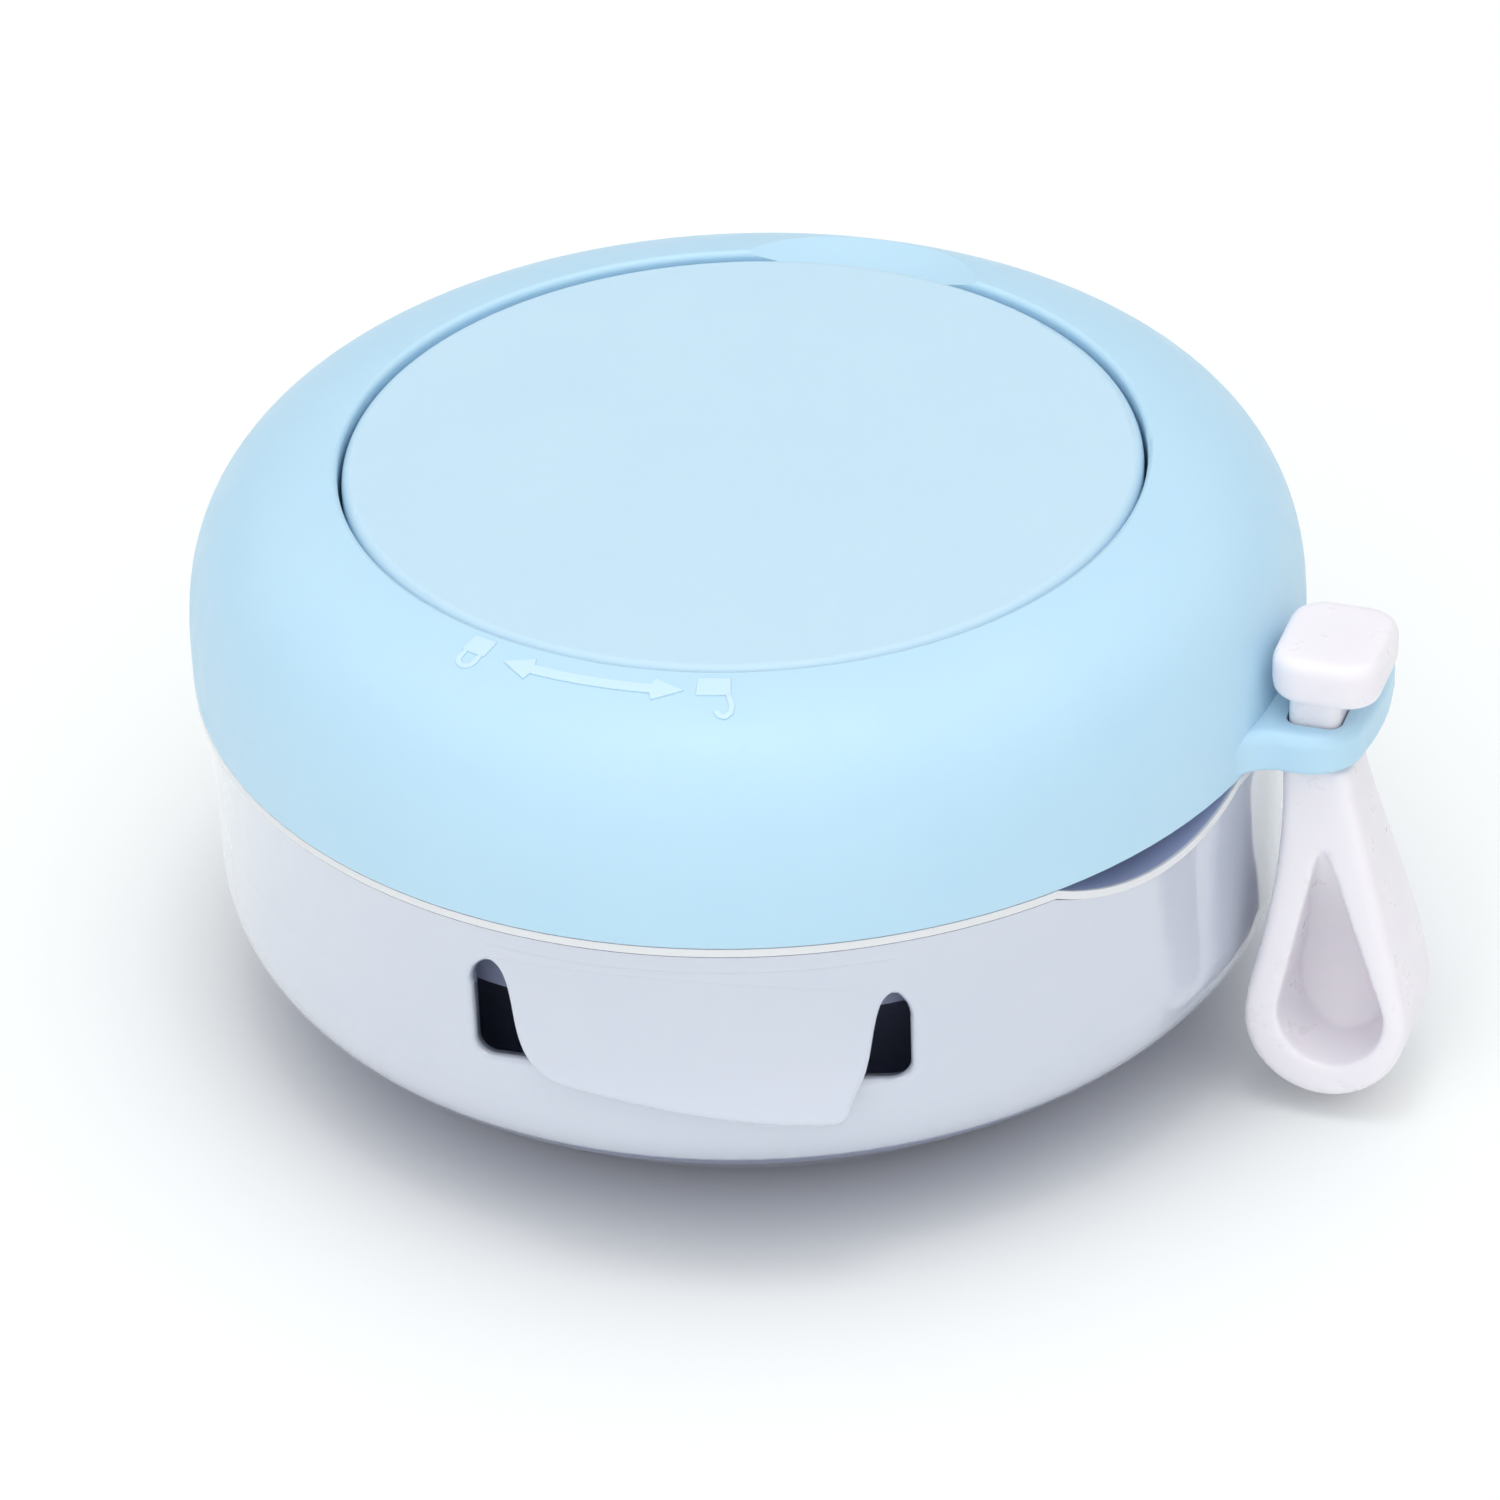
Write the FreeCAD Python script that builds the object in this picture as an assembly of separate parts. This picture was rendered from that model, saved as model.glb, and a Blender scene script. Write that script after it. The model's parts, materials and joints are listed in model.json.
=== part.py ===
import FreeCAD, Part
import math
import os

# Hand-held pill crusher: a white base with a clear grinding bowl, and a blue lid that locks on with
# a part turn. A flat disc in the lid closes a small pill tray. Pressing and turning the disc grinds
# tablets between two toothed plates. A spoon hangs in a hook on the lid.
# Millimetres, +Z up, origin on the table at the middle of the foot, grip visor towards -Y.

V = FreeCAD.Vector
UP = V(0, 0, 1)

# ---------------------------------------------------------------- driving dimensions
body_radius = 43.0          # at the joint line between the lid and the base
seam_z = 29.5               # top of the clear rim, underside of the lid
top_z = 45.4                # top of the disc
running_gap = 0.3           # between faces that pass each other
seam_gap = 0.12             # the hairlines above and below the clear rim
lid_heading = -12.4         # the lid's own +X (its hook) in the base's frame, degrees
foot_recess_z = 0.5         # underside of the base shell
floor_z = 3.0               # top of the base shell's floor

# base shell, outside
waist_radius = 42.05
waist_z = 18.7              # above this the wall flares out to the joint line
corner_z = 13.5             # below this the wall turns in
corner_radius = 8.0
under_angle = 50.5          # slope of the underside cone, from the vertical
foot_edge_radius = 27.6
foot_turn_radius = 9.2
wall_inner_radius = 40.2
floor_inner_radius = 31.0

# grip visor and the window behind it, in the front view; their levels run down slightly towards +X
window_centre = -0.2
window_half_width = 16.05
window_bottom = 16.7
window_bottom_fall = 0.02   # per mm towards +X
window_top = 24.8
window_top_fall = 0.055
window_slope = 0.5          # the window's edges fall inwards, so that its sill drains
arch_centre = 15.0          # top of the slot's arch, from the middle of the visor
slot_y = -39.8              # where the wall stands at the slots
visor_side_half = 13.7
visor_bottom_half = 12.3
visor_bottom = 15.5
visor_bottom_fall = 0.11
visor_edge_radius = 44.8
visor_thickness = 1.6
slot_lip = 0.5              # rounding of the slots' outer edge
visor_edge_rounding = 0.4

# thumb notch in the base's rim
notch_heading = -38.8
notch_half_width = 10.0
notch_depth = 2.3
rim_thickness = 0.65

# grinding bowl
chamber_radius = 29.0
bowl_wall = 1.6
step_z = 21.5               # floor of the lock trough
trough_radius = 36.2
trough_outer_radius = 38.0
ledge_inner_radius = 35.1
ledge_bottom = 25.1
ledge_top = 26.6
lug_count = 3

# grinding plates
lower_plate_radius = 28.7
lower_plate_top = 8.0
tooth_height = 1.6
tooth_count = 18
tooth_inner_radius = 8.5
tooth_outer_radius = 25.6
upper_plate_radius = 26.6
upper_plate_bottom = 16.4
upper_plate_top = 19.4

# inner cover, guide and spring
deck_bottom = 27.2
deck_top = 29.0
deck_radius = 32.4
plug_radius = 28.7
plug_wall = 1.5
plug_bottom = 17.9
seal_bottom = 18.3
seal_top = 19.5
seal_depth = 0.9
well_floor_top = 22.0
well_radius = 12.5
guide_radius = 7.0
guide_top = 29.2
bush_radius = 4.1
shaft_radius = 3.0
press_travel = 4.5

# lid, tray and disc
bore_radius = 30.85
dome_start_z = 31.7         # the side is upright up to here
dome_crown_z = 45.9
dome_crown_radius = 26.2
dome_exponent = 2.67
shell_wall = 2.2
tube_wall = 1.8
cup_radius = 30.4
cup_wall = 1.7
cup_floor_bottom = 34.3
cup_floor_top = 35.8
cup_rim_z = 43.05
disc_radius = 30.55
disc_bottom = 43.4

# hook and spoon, in the lid's own frame
hook_bottom = 29.7
hook_top = 33.0
hook_half_width = 8.4
hook_reach = 50.5
hook_corner = 4.0
hook_root_radius = 3.0      # hollow curve in plan between the hook's sides and the lid
hook_root_x = 38.0          # where the hook starts, inside the lid's wall
neck_centre = 46.5
neck_half_width = 2.0
neck_front = -6.4
neck_back = 0.6
hook_clearance = 0.15
head_plan = (43.2, 51.5, -7.9, 2.0)     # low x, high x, low y, high y
head_bottom = 35.4
head_top = 39.1
spoon_bottom = 1.95
shoulder_z = 29.4
scoop_centre = 48.55
scoop_radius = 6.4
scoop_front = -10.6
spoon_keep_out = 43.35      # the spoon stays outside this radius, so that the lid can lift past the base


# ---------------------------------------------------------------- helpers
def cylinder(radius, z0, z1, x=0.0, y=0.0):
    return Part.makeCylinder(radius, z1 - z0, V(x, y, z0), UP)


def ring(inner, outer, z0, z1):
    return cylinder(outer, z0, z1).cut(cylinder(inner, z0 - 1, z1 + 1))


def polar(radius, degrees):
    angle = math.radians(degrees)
    return radius * math.cos(angle), radius * math.sin(angle)


def turned(shape, degrees):
    copy = shape.copy()
    copy.rotate(V(0, 0, 0), UP, degrees)
    return copy


def circled(shape, count, start=0.0):
    return [turned(shape, start + 360.0 * k / count) for k in range(count)]


def revolved(edges):
    """Solid of revolution about Z of a closed outline in the XZ plane."""
    return Part.Face(Part.Wire(edges)).revolve(V(0, 0, 0), UP, 360)


def outline(points):
    """Closed chain of straight edges through (radius, z) points."""
    corners = [V(r, 0, z) for r, z in points]
    return Part.makePolygon(corners + corners[:1]).Edges


def chain(points):
    """Open chain of straight edges through (radius, z) points."""
    return Part.makePolygon([V(r, 0, z) for r, z in points]).Edges


def arc(start, middle, end):
    return Part.Arc(V(start[0], 0, start[1]), V(middle[0], 0, middle[1]), V(end[0], 0, end[1])).toShape()


def sector(inner, outer, z0, z1, start, end):
    """Part of a ring between two headings, in degrees."""
    corners = [V(inner, 0, z0), V(outer, 0, z0), V(outer, 0, z1), V(inner, 0, z1)]
    face = Part.Face(Part.makePolygon(corners + corners[:1]))
    return turned(face.revolve(V(0, 0, 0), UP, end - start), start)


def rounded(shape, radius, edges):
    """Fillet, kept only where it leaves a sound solid."""
    try:
        result = shape.makeFillet(radius, edges)
    except Part.OCCError:
        print("fillet of", radius, "on", len(edges), "edges left out")
        return shape
    return result if result.isValid() else shape


def edges_at(shape, test):
    """Edges that pass the test at five points along them, short of their ends."""
    found = []
    for edge in shape.Edges:
        steps = [edge.valueAt(edge.FirstParameter + (edge.LastParameter - edge.FirstParameter) * share)
                 for share in (0.1, 0.3, 0.5, 0.7, 0.9)]
        if all(test(point) for point in steps):
            found.append(edge)
    return found


def screw(head_radius, head_z0, head_z1, shank_radius, shank_z0, shank_z1, x=0.0, y=0.0):
    """Pan-head screw with a cross recess, upright on (x, y); the head may be at either end."""
    head = cylinder(head_radius, head_z0, head_z1, x, y)
    body = head.fuse(cylinder(shank_radius, shank_z0, shank_z1, x, y))
    outer_face = head_z0 if head_z0 < shank_z0 else head_z1
    depth = 0.45 * (head_z1 - head_z0)
    low = outer_face - depth if outer_face == head_z1 else outer_face
    arm, half = 0.62 * head_radius, 0.16 * head_radius
    for length, width in ((arm, half), (half, arm)):
        slot = Part.makeBox(2 * length, 2 * width, depth, V(x - length, y - width, low))
        body = body.cut(slot)
    return body


def save(name, shape):
    shape.removeSplitter().exportStep("parts/" + name + ".step")


# ---------------------------------------------------------------- base
def base_radius_at(z):
    """Outer radius of the base wall above its waist."""
    flare = ((seam_z - waist_z) ** 2 + (body_radius - waist_radius) ** 2) / (2 * (body_radius - waist_radius))
    return waist_radius + flare - math.sqrt(flare ** 2 - (z - waist_z) ** 2)


def base_solid(top):
    """The base's outer form as a full solid up to a level."""
    mid = (top + waist_z) / 2
    corner_x = waist_radius - corner_radius
    turn = math.radians(under_angle)

    def below(centre_x, centre_z, radius, angle):
        return centre_x + radius * math.cos(angle), centre_z - radius * math.sin(angle)

    corner_end = below(corner_x, corner_z, corner_radius, turn)
    corner_mid = below(corner_x, corner_z, corner_radius, turn / 2)
    foot_z = foot_recess_z + foot_turn_radius
    foot_start = below(foot_edge_radius, foot_z, foot_turn_radius, turn)
    foot_mid = below(foot_edge_radius, foot_z, foot_turn_radius, (turn + math.pi / 2) / 2)
    foot_end = (foot_edge_radius, foot_recess_z)
    edges = [arc((base_radius_at(top), top), (base_radius_at(mid), mid), (waist_radius, waist_z))]
    edges += chain([(waist_radius, waist_z), (waist_radius, corner_z)])
    edges.append(arc((waist_radius, corner_z), corner_mid, corner_end))
    edges += chain([corner_end, foot_start])
    edges.append(arc(foot_start, foot_mid, foot_end))
    edges += chain([foot_end, (0, foot_recess_z), (0, top), (base_radius_at(top), top)])
    return revolved(edges)


def base_hollow():
    """Space inside the base shell."""
    slope_foot, slope_top = (floor_inner_radius, floor_z), (wall_inner_radius, 14.0)
    return revolved(outline([(0, floor_z), slope_foot, (36.6, 9.0), slope_top,
                             (wall_inner_radius, seam_z + 1), (0, seam_z + 1)]))


def smooth(points):
    """Smooth curve through (x, z) points."""
    curve = Part.BSplineCurve()
    curve.interpolate([V(x, 0, z) for x, z in points])
    return curve.toShape()


def front_prism(edges, slope=0.0):
    """Outline in the front view, pushed through the front wall; it is true to size at the slots."""
    start, length = -52, 25
    face = Part.Face(Part.Wire(Part.__sortEdges__(edges)))
    return face.extrude(V(0, length, -slope * length)).translated(V(0, start, slope * (slot_y - start)))


def arch_top(side):
    """Top of the slot's arch on one side of the visor; side is -1 or 1."""
    return side * arch_centre, window_top - window_top_fall * side * arch_centre


def window():
    """Opening behind the visor, seen as an arched slot on each side of it."""
    edges = []
    corners = []
    for side in (-1, 1):
        x, top = arch_top(side)
        wall = window_centre + side * window_half_width
        low = window_bottom - window_bottom_fall * wall
        edges.append(arc((x, top), (wall - side * 0.3, top - 0.75), (wall, top - 2.4)))
        edges += chain([(wall, top - 2.4), (wall, low + 1.5)])
        edges.append(arc((wall, low + 1.5), (wall - side * 0.44, low + 0.44), (wall - side * 1.5, low)))
        corners.append((wall - side * 1.5, low))
    edges += chain(corners) + chain([arch_top(-1), arch_top(1)])
    return front_prism(edges, window_slope)


def visor_outline():
    """Front view of the visor: sides that leave the arches level and draw in downwards."""
    hidden_top = window_top + 2.4
    step = visor_side_half - visor_bottom_half
    sides, ends = [], []
    for side in (-1, 1):
        x, top = arch_top(side)
        end = (side * visor_bottom_half, top - 7.3)
        sides.append(smooth([(x, top), (side * (visor_side_half + 0.5), top - 0.5),
                             (side * visor_side_half, top - 1.6),
                             (side * (visor_side_half - 0.35 * step), top - 4.2), end]))
        ends.append(end)
    left, right = ends
    low_left = (-9.5, visor_bottom + visor_bottom_fall * 9.5)
    low_right = (10.6, visor_bottom - visor_bottom_fall * 10.6 + 0.15)
    sides.append(arc(left, (-visor_bottom_half + 0.85, left[1] - 0.95), low_left))
    sides.append(smooth([low_left, (-3.3, visor_bottom + 0.35), (3.2, visor_bottom - 0.4), low_right]))
    corner = (low_right[0] + 1.25, low_right[1] + 1.1)
    sides.append(arc(low_right, (low_right[0] + 0.85, low_right[1] + 0.3), corner))
    sides += chain([corner, right])
    sides += chain([arch_top(1), (arch_centre, hidden_top), (-arch_centre, hidden_top), arch_top(-1)])
    return sides


def visor():
    """Panel hung from its top edge, which flares away from the wall towards its lower edge."""
    top = window_top + 2.5
    top_r = base_radius_at(top) + 0.02
    middle = (waist_radius + 0.44, (top + visor_bottom) / 2)
    low = visor_bottom - 2.0
    low_r = visor_edge_radius + 1.1
    edges = [arc((top_r, top), middle, (low_r, low))]
    edges += chain([(low_r, low), (low_r - visor_thickness, low)])
    edges.append(arc((low_r - visor_thickness, low), (middle[0] - visor_thickness, middle[1]),
                     (top_r - visor_thickness, top)))
    edges += chain([(top_r - visor_thickness, top), (top_r, top)])
    panel = revolved(edges).common(front_prism(visor_outline()))

    def on_outer_edge(p):
        radius = math.hypot(p.x, p.y)
        flare = 0.35 * (visor_bottom + 4.5 - p.z)
        return p.z < window_top + 0.5 and radius > waist_radius - 0.3 and radius > waist_radius + flare

    return rounded(panel, visor_edge_rounding, edges_at(panel, on_outer_edge))


def notch_cylinder(extra):
    """Lying cylinder that shapes the thumb notch; extra makes it larger."""
    radius = (notch_half_width ** 2 + notch_depth ** 2) / (2 * notch_depth)
    centre_z = seam_z - rim_thickness - notch_depth + radius
    lying = Part.makeCylinder(radius + extra, 12, V(trough_outer_radius, 0, centre_z), V(1, 0, 0))
    return turned(lying, notch_heading)


def bowl_screw_places():
    return [polar(14.0, 30 + 120 * k) for k in range(3)]


def slot_edges(shell):
    """Outer edges of the window, those that show beside the visor."""
    def on_edge(p):
        return (p.y < -30 and abs(p.x) < window_half_width + 0.35 and math.hypot(p.x, p.y) > waist_radius - 0.05
                and window_bottom - 0.5 < p.z < window_top + 2.5)
    return edges_at(shell, on_edge)


def make_base_shell():
    rim_z = seam_z - rim_thickness - seam_gap
    shell = base_solid(rim_z).cut(base_hollow())
    shell = shell.cut(notch_cylinder(seam_gap))
    shell = shell.cut(window())
    shell = rounded(shell, slot_lip, slot_edges(shell))
    shell = shell.fuse(visor())
    shell = shell.cut(cylinder(25.0, 0, 1.2))
    for x, y in bowl_screw_places():
        shell = shell.cut(cylinder(2.6, 0, 2.3, x, y)).cut(cylinder(1.25, 0, floor_z + 1, x, y))
    return shell


def make_foot_pad():
    pad = cylinder(24.8, 0, 1.2)
    return rounded(pad, 0.4, edges_at(pad, lambda p: p.z < 0.01))


def make_bowl_screws():
    return Part.makeCompound([screw(2.3, 1.3, 2.3, 1.2, 2.3, 7.0, x, y) for x, y in bowl_screw_places()])


def make_grinding_bowl():
    """Clear bowl: narrow chamber, wide lock trough and a thin rim that dips into the thumb notch."""
    outer = chamber_radius + bowl_wall
    bowl = revolved(outline([
        (0, floor_z), (outer, floor_z), (outer, step_z - 1.6), (trough_outer_radius, step_z - 1.6),
        (trough_outer_radius, seam_z), (trough_radius, seam_z), (trough_radius, step_z),
        (chamber_radius, step_z), (chamber_radius, 5.0), (0, 5.0)]))
    rim = ring(trough_outer_radius - 0.1, body_radius - 0.05, floor_z + 20, seam_z)
    strip = cylinder(body_radius + 1, seam_z - rim_thickness, seam_z).fuse(notch_cylinder(0))
    rim = rim.common(strip).cut(notch_cylinder(-rim_thickness))
    bowl = bowl.fuse(rim)
    for k in range(lug_count):
        start = lid_heading + 30 + 120 * k
        bowl = bowl.fuse(sector(ledge_inner_radius, trough_radius + 0.1, ledge_bottom, ledge_top,
                                start, start + 60))
    for keyway in circled(Part.makeBox(1.9, 3.4, 3.0, V(chamber_radius - 1.0, -1.7, step_z - 1.9)), 2):
        bowl = bowl.cut(keyway)
    for x, y in bowl_screw_places():
        bowl = bowl.cut(cylinder(1.25, floor_z - 1, 6, x, y))
    return bowl


def tooth(base_z, height):
    """Radial ridge of triangular section, lying along +X; a negative height points down."""
    half = 1.5

    def section(radius, width, rise):
        low, crest, high = V(radius, -width, base_z), V(radius, 0, base_z + rise), V(radius, width, base_z)
        return Part.makePolygon([low, high, crest, low])

    inner = section(tooth_inner_radius, half * 0.45, height * 0.7)
    outer = section(tooth_outer_radius, half, height)
    return Part.makeLoft([inner, outer], True, True)


def make_lower_grinding_plate():
    plate = cylinder(lower_plate_radius, 5.0, lower_plate_top)
    for x, y in bowl_screw_places():
        plate = plate.cut(cylinder(1.2, 4.0, 7.0, x, y))
    return plate.fuse(circled(tooth(lower_plate_top, tooth_height), tooth_count))


# ---------------------------------------------------------------- lid, parts that do not turn
def make_inner_cover():
    """Deck with a plug that enters the chamber, a spring well and the guide for the shaft."""
    cover = ring(bush_radius, deck_radius, deck_bottom, deck_top)
    cover = cover.cut(cylinder(well_radius, deck_bottom - 1, deck_top + 1))
    cover = cover.fuse(ring(plug_radius - plug_wall, plug_radius, plug_bottom, deck_bottom))
    cover = cover.fuse(ring(well_radius, well_radius + 1.5, well_floor_top - 1.5, deck_top))
    cover = cover.fuse(ring(bush_radius, well_radius + 1.5, well_floor_top - 1.5, well_floor_top))
    cover = cover.fuse(ring(bush_radius, guide_radius, well_floor_top - 1.5, guide_top))
    for key in circled(Part.makeBox(1.3, 2.8, 1.4, V(plug_radius - 0.4, -1.4, step_z - 1.6)), 2):
        cover = cover.fuse(key)
    return cover.cut(ring(plug_radius - seal_depth, plug_radius + 0.01, seal_bottom, seal_top))


def make_cover_seal():
    """Soft ring in the plug's groove."""
    seal = ring(plug_radius - seal_depth, chamber_radius - 0.07, seal_bottom, seal_top)
    return rounded(seal, 0.3, edges_at(seal, lambda p: math.hypot(p.x, p.y) > plug_radius))


def make_guide_bush():
    bush = ring(shaft_radius + 0.05, bush_radius, well_floor_top - 1.5, guide_top)
    return bush.fuse(ring(shaft_radius + 0.05, bush_radius + 1.2, guide_top, guide_top + 0.5))


def make_spring_sleeve():
    """Sleeve that slides on the guide and seats the upper end of the spring."""
    bore = guide_radius + 0.08
    low = well_floor_top + press_travel + 0.4
    return ring(bore, 8.4, low, 33.7).fuse(ring(bore, 12.0, 32.4, 33.7))


def make_thrust_washer():
    return ring(7.2, 11.6, 33.7, cup_floor_bottom - 0.1)


def make_return_spring():
    """Round wire coil between the well floor and the sleeve's flange."""
    wire, radius = 0.45, 10.2
    low, high = well_floor_top + wire, 32.4 - wire
    turns = 4.0
    path = Part.makeHelix((high - low) / turns, high - low, radius)
    section = Part.Wire(Part.makeCircle(wire, V(radius, 0, 0), V(0, 1, 0)))
    coil = Part.Wire(path).makePipeShell([section], True, True)
    coil.translate(V(0, 0, low))
    return coil


# ---------------------------------------------------------------- lid, turning lock shell
def dome_point(share, offset):
    """Point on the dome: share 0 is its foot, 1 its crown."""
    angle = share * math.pi / 2
    width = body_radius - dome_crown_radius
    height = dome_crown_z - dome_start_z
    r = dome_crown_radius + width * math.cos(angle) ** (2 / dome_exponent)
    z = dome_start_z + height * math.sin(angle) ** (2 / dome_exponent)
    normal = V(math.cos(angle) ** (2 - 2 / dome_exponent) / width, 0,
               math.sin(angle) ** (2 - 2 / dome_exponent) / height)
    normal.normalize()
    return V(r, 0, z) + normal * offset


def dome_share_at_radius(radius):
    width = body_radius - dome_crown_radius
    return math.acos(((radius - dome_crown_radius) / width) ** (dome_exponent / 2)) / (math.pi / 2)


def dome_edge(end_share, offset):
    """Smooth curve over the dome from its foot to a share."""
    count = 14
    curve = Part.BSplineCurve()
    curve.interpolate([dome_point(end_share * k / count, offset) for k in range(count + 1)])
    return curve.toShape()


def lid_dome():
    """Domed wall with an upright tube inside, around the bore for the tray."""
    lip = 0.45
    tube_outer = bore_radius + tube_wall
    bottom_z = seam_z + seam_gap
    outer = dome_edge(dome_share_at_radius(bore_radius + lip), 0)
    inner = dome_edge(dome_share_at_radius(tube_outer + 2.6), -shell_wall)
    crown = outer.Vertexes[1].Point
    root = inner.Vertexes[1].Point
    foot = inner.Vertexes[0].Point
    edges = chain([(body_radius, bottom_z), (body_radius, dome_start_z)]) + [outer]
    edges.append(arc((crown.x, crown.z), (bore_radius + lip * 0.29, crown.z - lip * 0.29),
                     (bore_radius, crown.z - lip)))
    edges += chain([(bore_radius, crown.z - lip), (bore_radius, deck_top + running_gap),
                    (tube_outer, deck_top + running_gap), (tube_outer, root.z), (root.x, root.z)])
    edges += [inner] + chain([(foot.x, foot.z), (foot.x, bottom_z), (body_radius, bottom_z)])
    return revolved(edges)


def hook_plate(z0, z1):
    """Plan outline of the hook, symmetric about the lid's +X, with sides that flare into the lid."""
    h, reach, c, r = hook_half_width, hook_reach, hook_corner, hook_root_radius
    flare_x = math.sqrt((body_radius + r) ** 2 - (h + r) ** 2)
    share = body_radius / (body_radius + r)
    diagonal = c * (1 - math.sqrt(0.5))
    edges = []
    for side in (-1, 1):
        root = V(hook_root_x, side * (h + 1.5), z0)
        leave = V(flare_x * share, side * (h + r) * share, z0)
        to_line, to_lid = V(0, -side, 0), V(-flare_x, -side * (h + r), 0).normalize()
        middle = V(flare_x, side * (h + r), z0) + (to_line + to_lid).normalize() * r
        land = V(flare_x, side * h, z0)
        bend = V(reach - c - 0.6, side * h, z0)
        corner = V(reach - diagonal - 0.5, side * (h - diagonal), z0)
        end = V(reach - 0.4, side * (h - c), z0)
        edges += [Part.makeLine(V(hook_root_x, 0, z0), root), Part.makeLine(root, leave),
                  Part.Arc(leave, middle, land).toShape(), Part.makeLine(land, bend),
                  Part.Arc(bend, corner, end).toShape()]
    edges.append(Part.Arc(V(reach - 0.4, c - h, z0), V(reach, 0, z0), V(reach - 0.4, h - c, z0)).toShape())
    return Part.Face(Part.Wire(Part.__sortEdges__(edges))).extrude(V(0, 0, z1 - z0))


def hook():
    """Flat hook for the spoon's neck, open at the side away from the front."""
    plate = hook_plate(hook_bottom, hook_top)
    outside = hook_root_x + 0.1
    plate = rounded(plate, 1.0, edges_at(plate, lambda p: p.x > outside and p.z > hook_top - 0.01))
    plate = rounded(plate, 0.5, edges_at(plate, lambda p: p.x > outside and p.z < hook_bottom + 0.01))
    half = neck_half_width + hook_clearance
    slot = Part.makeBox(2 * half, 30, 10, V(neck_centre - half, neck_front - hook_clearance, hook_bottom - 3))
    slot = slot.makeFillet(1.0, edges_at(slot, lambda p: p.y < neck_front))
    plate = plate.cut(slot)
    keep_clear = cylinder(body_radius - shell_wall, hook_bottom - 1, hook_top + 1)
    return plate.cut(keep_clear)


def nail_scoop():
    """Shallow dip in the lid's edge, opposite the arrow, for lifting the disc with a fingernail."""
    half_width, depth = 8.6, 1.5
    radius = (half_width ** 2 + depth ** 2) / (2 * depth)
    lying = Part.makeCylinder(radius, 14, V(0, 0, 0), V(0, 1, 0))
    lying.translate(V(0, bore_radius - 3, top_z - depth + radius))
    lying.rotate(V(0, bore_radius, top_z - depth), V(1, 0, 0), 5)
    return lying


def lock_ring_screw_places():
    return [polar(37.2, 90 + 120 * k) for k in range(3)]


def dome_inside():
    """Everything under the lid's skin, down to the joint line."""
    skin = 1.0
    share = dome_share_at_radius(bore_radius)
    crown = dome_point(share, -skin)
    edges = chain([(0, seam_z), (body_radius - skin, seam_z), (body_radius - skin, dome_start_z)])
    edges.append(dome_edge(share, -skin))
    return revolved(edges + chain([(crown.x, crown.z), (0, crown.z), (0, seam_z)]))


def make_lid_shell():
    shell = lid_dome()
    inside = dome_inside()
    for x, y in lock_ring_screw_places():
        boss = cylinder(2.7, 32.9, top_z, x, y).common(inside)
        shell = shell.fuse(boss).cut(cylinder(1.2, 30, 38.5, x, y))
    shell = shell.fuse(hook()).cut(nail_scoop())
    return turned(shell, lid_heading)


def make_lock_ring():
    """Ring under the lid that carries the bayonet lugs and keeps the inner cover in place."""
    lug_start = -25.0
    locker = ring(33.0, 34.8, 23.2, 31.4)
    locker = locker.fuse(ring(33.0, 40.0, 31.4, 32.9))
    locker = locker.fuse(ring(31.2, 33.1, 25.4, deck_bottom - running_gap))
    for k in range(lug_count):
        start = lug_start + 120 * k
        locker = locker.fuse(sector(34.7, 35.8, 23.2, ledge_bottom - running_gap, start, start + 50))
    for x, y in lock_ring_screw_places():
        locker = locker.cut(cylinder(1.25, 30, 34, x, y))
    return turned(locker, lid_heading)


def make_lock_ring_screws():
    screws = [screw(2.1, 30.2, 31.4, 1.2, 31.4, 38.0, x, y) for x, y in lock_ring_screw_places()]
    return turned(Part.makeCompound(screws), lid_heading)


# ---------------------------------------------------------------- turning tray and upper plate
def make_storage_cup():
    """Round tray under the disc; it is also the knob that turns the shaft."""
    cup = cylinder(cup_radius, cup_floor_bottom, cup_rim_z)
    cup = cup.cut(cylinder(cup_radius - cup_wall, cup_floor_top, top_z))
    cup = cup.cut(cylinder(1.25, cup_floor_bottom - 1, cup_floor_top + 1))
    inside = edges_at(cup, lambda p: abs(p.z - cup_floor_top) < 0.01 and math.hypot(p.x, p.y) > 20)
    return rounded(cup, 1.0, inside)


def make_drive_shaft():
    """Plain spindle with a blind hole for a screw at each end."""
    shaft = cylinder(shaft_radius, upper_plate_top - 1.0, cup_floor_bottom)
    shaft = shaft.cut(cylinder(1.2, upper_plate_top - 2, upper_plate_top + 5.6))
    return shaft.cut(cylinder(1.2, cup_floor_bottom - 6.0, cup_floor_bottom + 1))


def make_shaft_screw():
    return screw(2.6, cup_floor_top, cup_floor_top + 1.4, 1.2, cup_floor_bottom - 6.0, cup_floor_top)


def make_upper_grinding_plate():
    plate = cylinder(upper_plate_radius, upper_plate_bottom, upper_plate_top)
    plate = plate.cut(cylinder(shaft_radius, upper_plate_top - 1.0, upper_plate_top + 1))
    plate = plate.cut(cylinder(1.25, upper_plate_bottom - 1, upper_plate_top))
    return plate.fuse(circled(tooth(upper_plate_bottom, -tooth_height), tooth_count, 10))


def make_plate_screw():
    face = upper_plate_bottom
    return screw(3.0, face - 1.4, face, 1.2, face, upper_plate_top + 5.0)


def make_lid_disc():
    """Flat disc with a rounded edge and a short plug that snaps into the tray."""
    disc = cylinder(disc_radius, disc_bottom, top_z)
    disc = disc.makeFillet(0.9, edges_at(disc, lambda p: p.z > top_z - 0.01))
    plug = cup_radius - cup_wall - running_gap
    return disc.fuse(ring(plug - 1.4, plug, disc_bottom - 1.4, disc_bottom))


def make_disc_gasket():
    return ring(cup_radius - cup_wall - 0.2, cup_radius - 0.2, cup_rim_z + 0.05, disc_bottom)


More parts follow.
